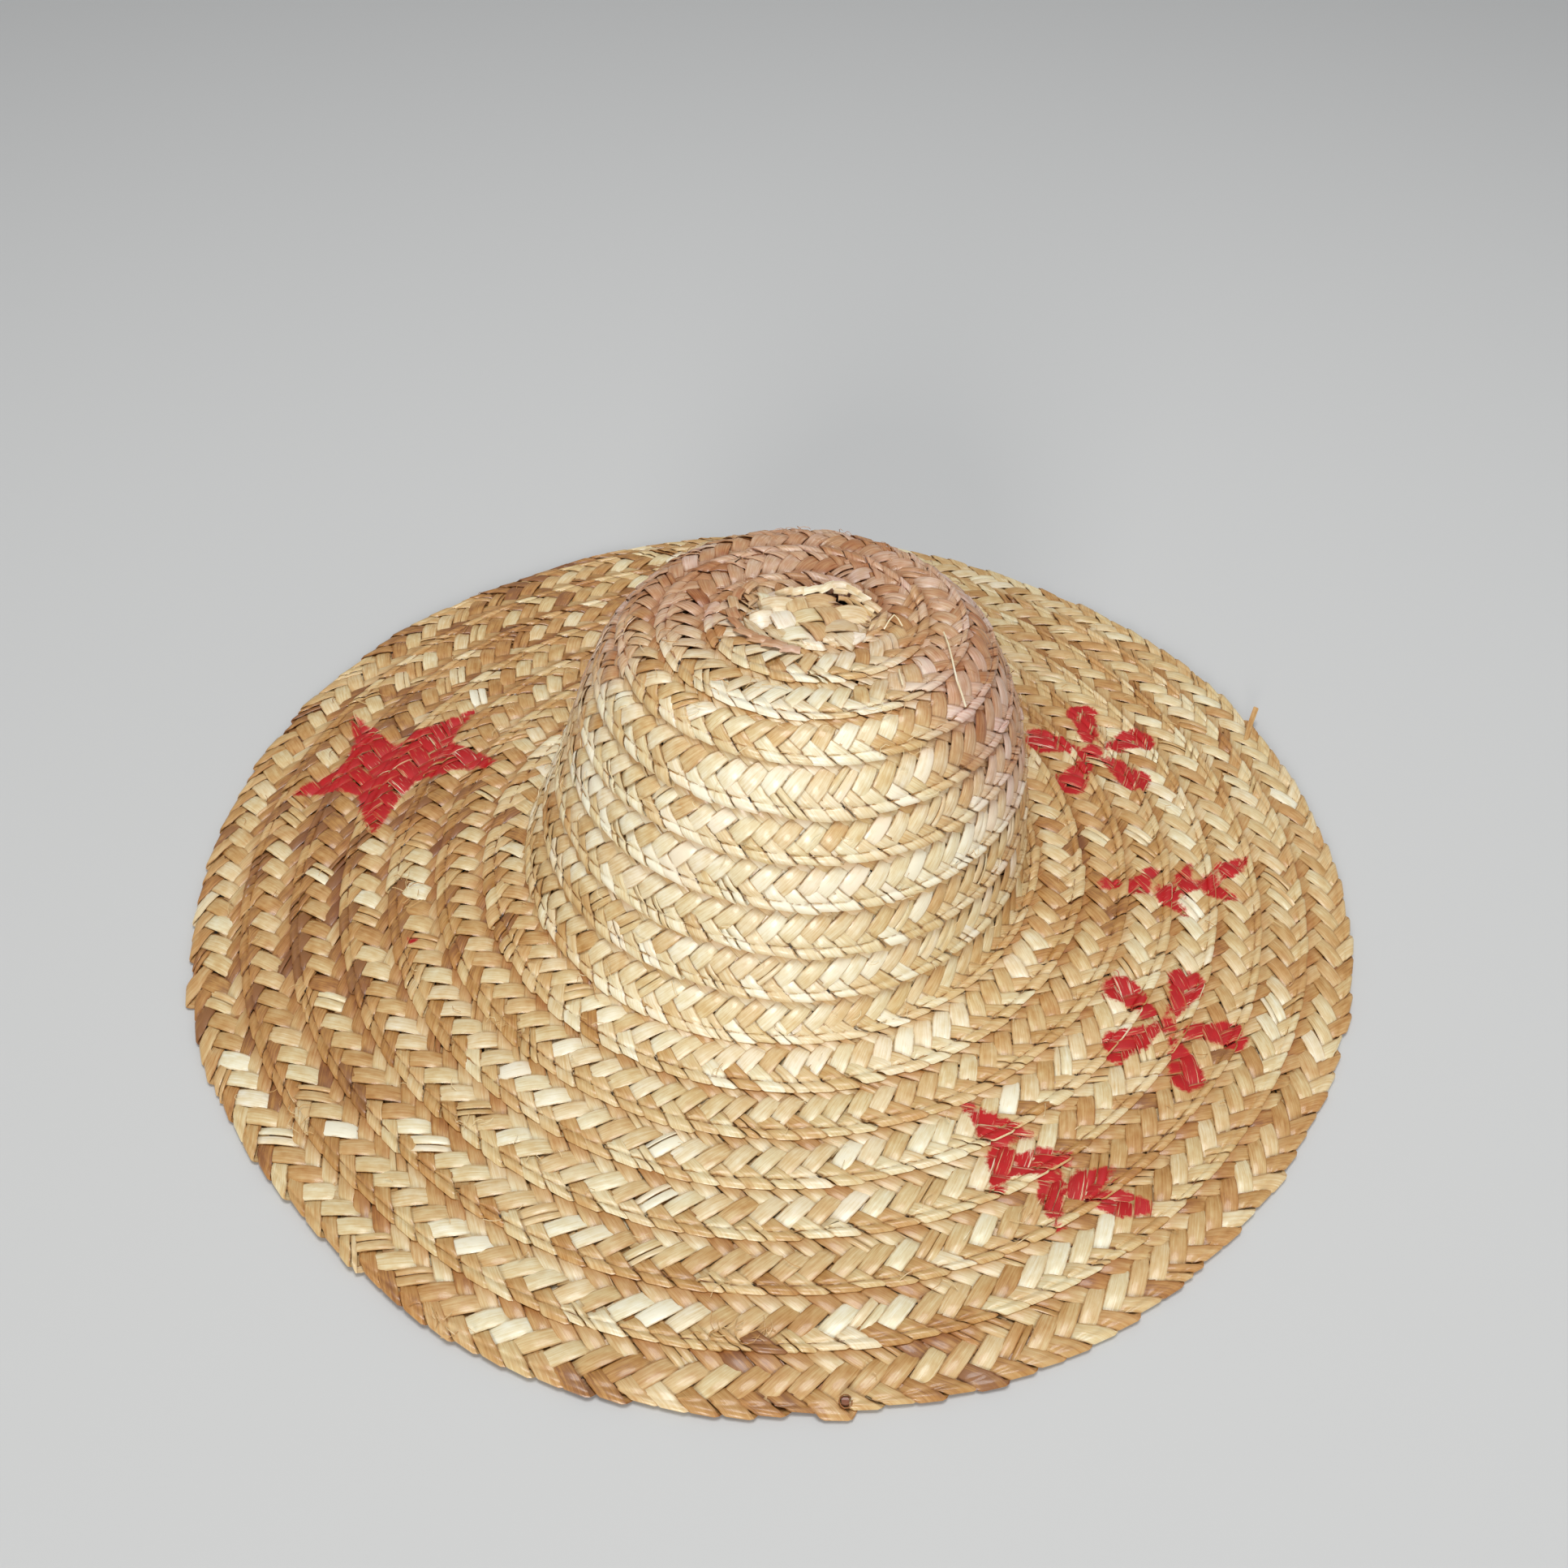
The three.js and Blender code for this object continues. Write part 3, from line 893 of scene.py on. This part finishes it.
def addObject(name, data):
    item = bpy.data.objects.new(name, data)
    bpy.context.scene.collection.objects.link(item)
    return item


# Joins the splints of a stretch of the plait into one piece
def weavePiece(name, firstTurn, lastTurn, node, material):
    onButton = name == "woven_button"
    if onButton:
        length = 2 * button["halfLength"]
        first = -3
        last = int(length / button["repeat"]) + 3
        used = [course for course in courses if course not in ("outerRight", "outerLeft")]
        laid = [layCourse(course, first, last, buttonPoint, length) for course in used] + buttonCells()
    else:
        length = pathLength[-1]
        first = int(np.interp(firstTurn, pathTurn, pathRepeat))
        last = int(np.interp(lastTurn, pathTurn, pathRepeat))
        laid = [layCourse(course, first, last, plaitPoint, length) for course in courses]
    if name == "woven_tip":
        laid += tearDetails()
    if name == "woven_brim_outer":
        laid += rimDetails()
    if not onButton:
        laid.append(stitches(first, last))
        number = int((lastTurn - firstTurn) * strayFibres["perTurn"])
        turns = rng.uniform(max(firstTurn, strayFibres["from"]), min(lastTurn, strayFibres["to"]), number)
        laid.append(hairs(turns, rng.uniform(-180, 180, number)))
    facts, quads = joinLaid(laid)
    point = facts["point"]
    mesh = meshFromArrays(name, point, quads)
    pale = spotted(point, paleSpots)
    spread = toneRange["spread"] + toneRange["paleSpread"] * pale
    spread = spread + toneRange["evenSpread"] * spotted(point, evenSpots)
    tone = facts["tone"] * spread + toneRange["middle"] + toneRange["amber"] * spotted(point, amberSpots)
    read = {part: facts[part] for part in ("seed", "sheen", "lift", "cover", "crossing", "side", "stitched")}
    read["tone"] = tone + toneRange["pale"] * pale + facts["settled"] * toneRange["settled"]
    read["mauve"] = np.where(facts["stain"] < 0, spotted(point, mauveSpots), facts["stain"])
    read["paint"] = paintDistance(point, facts["outside"])
    for part, values in read.items():
        setAttribute(mesh, part, values)
    loops = np.zeros(len(mesh.loops), np.int32)
    mesh.loops.foreach_get("vertex_index", loops)
    uvLayer = mesh.uv_layers.new(name="splint")
    uvLayer.uv.foreach_set("vector", np.ascontiguousarray(facts["uv"][loops], np.float32).ravel())
    mesh.set_sharp_from_angle(angle=math.radians(62))
    piece = addObject(name, mesh)
    mesh.materials.append(material)
    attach(piece, "root")
    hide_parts(node)
    print(f"{name}: repeats {first} to {last}, {2 * len(quads)} triangles")


# Node helpers
def addNode(tree, kind, **values):
    node = tree.nodes.new(kind)
    for name, value in values.items():
        setattr(node, name, value)
    return node


def link(tree, source, target):
    tree.links.new(source, target)


def mathNode(tree, operation, first, second=None, third=None, clamp=False):
    node = addNode(tree, "ShaderNodeMath", operation=operation, use_clamp=clamp)
    for socket, value in zip(node.inputs, (first, second, third)):
        if value is None:
            continue
        if isinstance(value, (int, float)):
            socket.default_value = value
        else:
            link(tree, value, socket)
    return node.outputs[0]


def mixColour(tree, blend, factor, first, second):
    node = addNode(tree, "ShaderNodeMix", data_type="RGBA", blend_type=blend)
    for socket, value in ((node.inputs[0], factor), (node.inputs[6], first), (node.inputs[7], second)):
        if isinstance(value, (int, float, tuple)):
            socket.default_value = value
        else:
            link(tree, value, socket)
    return node.outputs[2]


def rampNode(tree, factor, stops):
    node = addNode(tree, "ShaderNodeValToRGB")
    ramp = node.color_ramp
    while len(ramp.elements) < len(stops):
        ramp.elements.new(0.5)
    for element, (position, colour) in zip(ramp.elements, stops):
        element.position = position
        element.color = (*colour, 1)
    link(tree, factor, node.inputs[0])
    return node.outputs[0]


def attributeNode(tree, name):
    node = addNode(tree, "ShaderNodeAttribute", attribute_name=name)
    return node.outputs["Fac"]


def noiseNode(tree, vector, stretch, detail=2.0, roughness=0.5):
    mapping = addNode(tree, "ShaderNodeMapping")
    mapping.inputs["Scale"].default_value = stretch
    link(tree, vector, mapping.inputs["Vector"])
    node = addNode(tree, "ShaderNodeTexNoise")
    node.inputs["Scale"].default_value = 1.0
    node.inputs["Detail"].default_value = detail
    node.inputs["Roughness"].default_value = roughness
    link(tree, mapping.outputs[0], node.inputs["Vector"])
    return node.outputs["Fac"]


# Fine lengthwise grain of a flattened straw, shared by every straw material.
# Each noise: stretch along, across and over the splint, detail, roughness
grainNoises = {
    "Fibre": ((0.16, 5.5, 1), 3.0, 0.6),
    "Cloud": ((0.22, 0.35, 1), 2.0, 0.5),
    "Streak": ((0.1, 1.7, 1), 2.0, 0.5),
}


def buildGrainGroup():
    group = bpy.data.node_groups.new("strawGrain", "ShaderNodeTree")
    group.interface.new_socket(name="Splint", in_out="INPUT", socket_type="NodeSocketVector")
    for name in grainNoises:
        group.interface.new_socket(name=name, in_out="OUTPUT", socket_type="NodeSocketFloat")
    splint = addNode(group, "NodeGroupInput").outputs["Splint"]
    end = addNode(group, "NodeGroupOutput")
    for name, noise in grainNoises.items():
        link(group, noiseNode(group, splint, *noise), end.inputs[name])
    return group


def colourFrom(*values):
    shares = [value / 255 for value in values]
    return tuple(share / 12.92 if share <= 0.04045 else ((share + 0.055) / 1.055) ** 2.4 for share in shares)


strawTones = [
    (0.0, colourFrom(250, 243, 222)),
    (0.2, colourFrom(237, 222, 185)),
    (0.42, colourFrom(221, 193, 142)),
    (0.64, colourFrom(203, 160, 102)),
    (0.82, colourFrom(184, 132, 70)),
    (1.0, colourFrom(146, 96, 52)),
]
# Some splints are greener or redder than the rest
seedTints = [
    (0.0, (1.0, 0.98, 0.86)), (0.35, (0.98, 1.0, 0.9)), (0.7, (1.0, 0.95, 0.88)), (1.0, (1.0, 0.87, 0.7)),
]
paintReds = ((*colourFrom(204, 12, 18), 1), (*colourFrom(164, 8, 12), 1))
# Marks of wear, and painted shade in dips, gaps, creases and needle holes. Pairs are a factor and an offset,
# patches a noise's stretch, detail and roughness
wearAndShade = {
    "cloud": (0.5, -0.25),
    "streak": (0.5, -0.25),
    "fibre": (0.4, -0.2),
    "mauvePatch": ((60, 60, 60), 4.0, 0.6),
    "mauveBreaks": (1.3, -1.0),
    "mauveStreaks": (1.0, 0.4),
    "shadeAndGrime": (0.1, -0.6),  # lifts between which the painted shade and grime fall
    "brokenPatch": ((380, 380, 380), 2.0, 0.6),
    "outline": (-24.0, 1.9),
    "outlineBreaks": (3.0, -0.8),
    "crease": (-9.0, 1.0),
    "creaseBreaks": (5.0, -2.4),
    "pitBreaks": (3.0, -0.7),
    "holeChance": (4.0, -0.6),
    "paintPatch": ((700, 700, 700), 3.0, 0.65),
    "paintEdge": (3.4, -1.7),
    "paintSkips": (1.8, -1.4),
    "paintSoftness": (0.6, -0.6),  # distances in mm over which it fades
    "paintRub": (4.0, -3.75),
    "paintHollows": (-0.45, 1.0),
}


def strawMaterial(name, grainGroup, finish):
    material = bpy.data.materials.new(name)
    material.use_nodes = True
    tree = material.node_tree
    tree.nodes.clear()
    output = addNode(tree, "ShaderNodeOutputMaterial")
    shader = addNode(tree, "ShaderNodeBsdfPrincipled")
    link(tree, shader.outputs[0], output.inputs[0])
    place = addNode(tree, "ShaderNodeTexCoord").outputs["Object"]
    grain = addNode(tree, "ShaderNodeGroup", node_tree=grainGroup)
    link(tree, addNode(tree, "ShaderNodeUVMap", uv_map="splint").outputs[0], grain.inputs["Splint"])
    fibre, cloud, streak = (grain.outputs[part] for part in ("Fibre", "Cloud", "Streak"))
    seed, side, lift, crossing = (attributeNode(tree, part) for part in ("seed", "side", "lift", "crossing"))
    stitched = attributeNode(tree, "stitched")

    def calc(operation, *values, clamp=False):
        return mathNode(tree, operation, *values, clamp=clamp)

    def times(first, second, clamp=False):
        return calc("MULTIPLY", first, second, clamp=clamp)

    def scaled(value, factor, offset, clamp=False):
        return calc("MULTIPLY_ADD", value, factor, offset, clamp=clamp)

    def falling(value, start, end):
        node = addNode(tree, "ShaderNodeMapRange")
        node.inputs["From Min"].default_value = start
        node.inputs["From Max"].default_value = end
        link(tree, value, node.inputs["Value"])
        return node.outputs[0]

    def tint(colour, mask, part):
        return mixColour(tree, "MULTIPLY", mask, colour, (*finish[part], 1))

    shifts = calc("ADD", scaled(cloud, *wearAndShade["cloud"]), scaled(streak, *wearAndShade["streak"]))
    shifts = calc("ADD", shifts, scaled(fibre, *wearAndShade["fibre"]))
    tone = calc("ADD", calc("ADD", attributeNode(tree, "tone"), shifts), finish["toneShift"], clamp=True)
    colour = rampNode(tree, tone, strawTones)
    colour = mixColour(tree, "MULTIPLY", 0.5, colour, rampNode(tree, seed, seedTints))

    # Mauve bloom of age on the crown's top and back, broken up along the splints
    patch = scaled(noiseNode(tree, place, *wearAndShade["mauvePatch"]), *wearAndShade["mauveBreaks"])
    bloom = scaled(attributeNode(tree, "mauve"), 1.5, patch, clamp=True)
    colour = tint(colour, times(bloom, scaled(streak, *wearAndShade["mauveStreaks"]), clamp=True), "mauve")

    # Painted shade and grime where splints dip under each other
    low = falling(lift, *wearAndShade["shadeAndGrime"])
    colour = tint(colour, low, "shadeAndGrime")

    # Painted shade: a thin dark line down each side of a splint, where shade falls between splints, broken up
    # in places
    fromGap = calc("SUBTRACT", 0.5, calc("ABSOLUTE", side))
    broken = noiseNode(tree, place, *wearAndShade["brokenPatch"])
    outline = scaled(fromGap, *wearAndShade["outline"], clamp=True)
    outline = times(outline, scaled(broken, *wearAndShade["outlineBreaks"], clamp=True))
    colour = tint(colour, outline, "outline")

    # Painted shade and dirt along the edge of the turn above, and painted shade in the crease that the
    # stitches pull
    # Darker under the lapping edge: painted shade, and dirt
    shade = times(attributeNode(tree, "cover"), finish["lapDirtAndShade"])
    colour = tint(colour, shade, "dirtAndShade")
    # The crease is painted darker, a painted shadow line where the stitches pull it in
    fromCrease = calc("ABSOLUTE", calc("ADD", crossing, plait["crease"]))
    crease = scaled(fromCrease, *wearAndShade["crease"], clamp=True)
    crease = times(crease, scaled(broken, *wearAndShade["creaseBreaks"], clamp=True))
    colour = tint(colour, times(crease, stitched), "crease")

    # Painted shade: a dark pit round each needle hole, and the hole painted near black
    reach = calc("MAXIMUM", times(fromGap, 1.9), times(fromCrease, 1.5))
    pit = scaled(reach, -3.2, scaled(broken, *wearAndShade["pitBreaks"]), clamp=True)
    colour = tint(colour, times(pit, stitched), "pit")
    hole = scaled(reach, -16.0, scaled(seed, *wearAndShade["holeChance"]), clamp=True)
    colour = mixColour(tree, "MIX", times(hole, stitched), colour, (*finish["hole"], 1))

    # Worn red brush paint
    ragged = scaled(noiseNode(tree, place, *wearAndShade["paintPatch"]), *wearAndShade["paintEdge"])
    ragged = calc("ADD", ragged, scaled(seed, *wearAndShade["paintSkips"]))
    painted = falling(calc("ADD", attributeNode(tree, "paint"), ragged), *wearAndShade["paintSoftness"])
    thin = calc("MINIMUM", calc("ADD", fibre, times(streak, 1.3)), 2.0)
    rub = scaled(scaled(fromGap, 0.6, thin), *wearAndShade["paintRub"], clamp=True)
    paintMask = times(painted, rub)
    paintMask = times(paintMask, scaled(low, *wearAndShade["paintHollows"], clamp=True))
    red = mixColour(tree, "MIX", cloud, *paintReds)
    link(tree, mixColour(tree, "MIX", paintMask, colour, red), shader.inputs["Base Color"])

    rough = scaled(attributeNode(tree, "sheen"), 0.2, scaled(fibre, 0.2, finish["roughness"]))
    link(tree, scaled(paintMask, 0.2, rough, clamp=True), shader.inputs["Roughness"])
    shader.inputs["Specular IOR Level"].default_value = finish["specular"]
    link(tree, scaled(paintMask, -finish["coat"], finish["coat"]), shader.inputs["Coat Weight"])
    shader.inputs["Coat Roughness"].default_value = finish["coatRoughness"]
    bump = addNode(tree, "ShaderNodeBump")
    bump.inputs["Strength"].default_value = finish["grainStrength"]
    bump.inputs["Distance"].default_value = finish["grainDepth"]
    link(tree, fibre, bump.inputs["Height"])
    link(tree, bump.outputs[0], shader.inputs["Normal"])
    return material


def buildMaterials():
    grainGroup = buildGrainGroup()
    base = {
        "mauve": (0.72, 0.5, 0.54),
        # The next colours tint painted shade, and the grime and dirt among them real dirt too
        "shadeAndGrime": (0.58, 0.42, 0.25),
        "outline": (0.62, 0.45, 0.31),
        "dirtAndShade": (0.68, 0.47, 0.28),
        "lapDirtAndShade": 0.8,
        "crease": (0.5, 0.33, 0.22),
        "hole": (0.035, 0.02, 0.012),
        "pit": (0.5, 0.4, 0.34),
        "roughness": 0.24,
        "specular": 0.5,
        "coat": 0.4,
        "coatRoughness": 0.16,
        "grainStrength": 0.8,
        "grainDepth": 0.12 * mm,
    }
    tipFinish = {
        "toneShift": 0.03,
        "mauve": (0.7, 0.48, 0.48),
        "shadeAndGrime": (0.74, 0.58, 0.44),
        "outline": (0.8, 0.64, 0.54),
        "crease": (0.6, 0.38, 0.44),
    }
    changes = {
        "button": {"toneShift": -0.05},
        "tip": tipFinish,
        "side": {"toneShift": -0.04},
        "brim": {"toneShift": 0.02, "outline": (0.74, 0.59, 0.45)},
    }
    return {part: strawMaterial(f"{part}Straw", grainGroup, {**base, **own}) for part, own in changes.items()}


# Camera at the photograph's place, with its fitted axes
camera = {
    "place": (0.0, -402.1, 431.7),
    "right": (0.999856, 0.007677, 0.015129),
    "up": (-0.016211, 0.695238, 0.718597),
    "back": (-0.005002, -0.718738, 0.695263),
    "lens": 36.0,
    "sensor": 36.0,
}


def buildCamera():
    data = bpy.data.cameras.new("photoCamera")
    data.sensor_width = camera["sensor"]
    data.lens = camera["lens"]
    data.clip_start = 0.01
    data.clip_end = 50
    item = addObject("photoCamera", data)
    turned = Matrix([camera[axis] for axis in ("right", "up", "back")]).transposed().to_4x4()
    item.matrix_world = Matrix.Translation(Vector(camera["place"]) * mm) @ turned
    bpy.context.scene.camera = item


def buildFloor():
    form = bmesh.new()
    bmesh.ops.create_grid(form, x_segments=1, y_segments=1, size=6)
    mesh = bpy.data.meshes.new("floor")
    form.to_mesh(mesh)
    form.free()
    floor = addObject("floor", mesh)
    material = bpy.data.materials.new("floorPaint")
    material.use_nodes = True
    shader = material.node_tree.nodes["Principled BSDF"]
    shader.inputs["Base Color"].default_value = (0.62, 0.62, 0.61, 1)
    shader.inputs["Roughness"].default_value = 0.8
    mesh.materials.append(material)


# Each light: name, place, size, power, colour
areaLights = [
    ("windowLight", (-0.4, -2.2, 0.7), 0.8, 26, (1.0, 0.985, 0.96)),
    ("ceilingLight", (0.05, 0.0, 1.7), 0.8, 15, (0.98, 0.99, 1.0)),
    ("fillLight", (1.3, -0.6, 1.0), 1.0, 2.5, (0.96, 0.98, 1.0)),
]
lightTarget = (0, 0, 0.04)
skyLight = {"Color": (0.95, 0.97, 1.0, 1), "Strength": 0.33}


def areaLight(name, place, size, power, colour):
    data = bpy.data.lights.new(name, "AREA")
    data.shape = "DISK"
    data.size = size
    data.energy = power
    data.color = colour
    item = addObject(name, data)
    item.location = place
    item.rotation_euler = (Vector(place) - Vector(lightTarget)).to_track_quat("Z", "Y").to_euler()


def buildLights():
    for light in areaLights:
        areaLight(*light)
    world = bpy.data.worlds.new("studio")
    bpy.context.scene.world = world
    world.use_nodes = True
    for name, value in skyLight.items():
        world.node_tree.nodes["Background"].inputs[name].default_value = value


materials = buildMaterials()
pieces = [
    ("woven_button", plait["firstTurn"], 0.0, "crown_button", "straw_button", "button"),
    ("woven_tip", 0.0, 3.0, "crown_tip", "straw_tip", "tip"),
    ("woven_side", 3.0, 9.0, "crown_side", "straw_side", "side"),
    ("woven_brim_inner", 9.0, 13.1, "brim", "straw_brim", "brim"),
    ("woven_brim_outer", 13.1, plait["lastTurn"], "brim", "straw_brim", "brim"),
]
for name, firstTurn, lastTurn, node, slot, finish in pieces:
    weavePiece(name, firstTurn, lastTurn, node, materials[finish])
buildCamera()
buildFloor()
buildLights()
bpy.context.scene.view_settings.view_transform = "Standard"
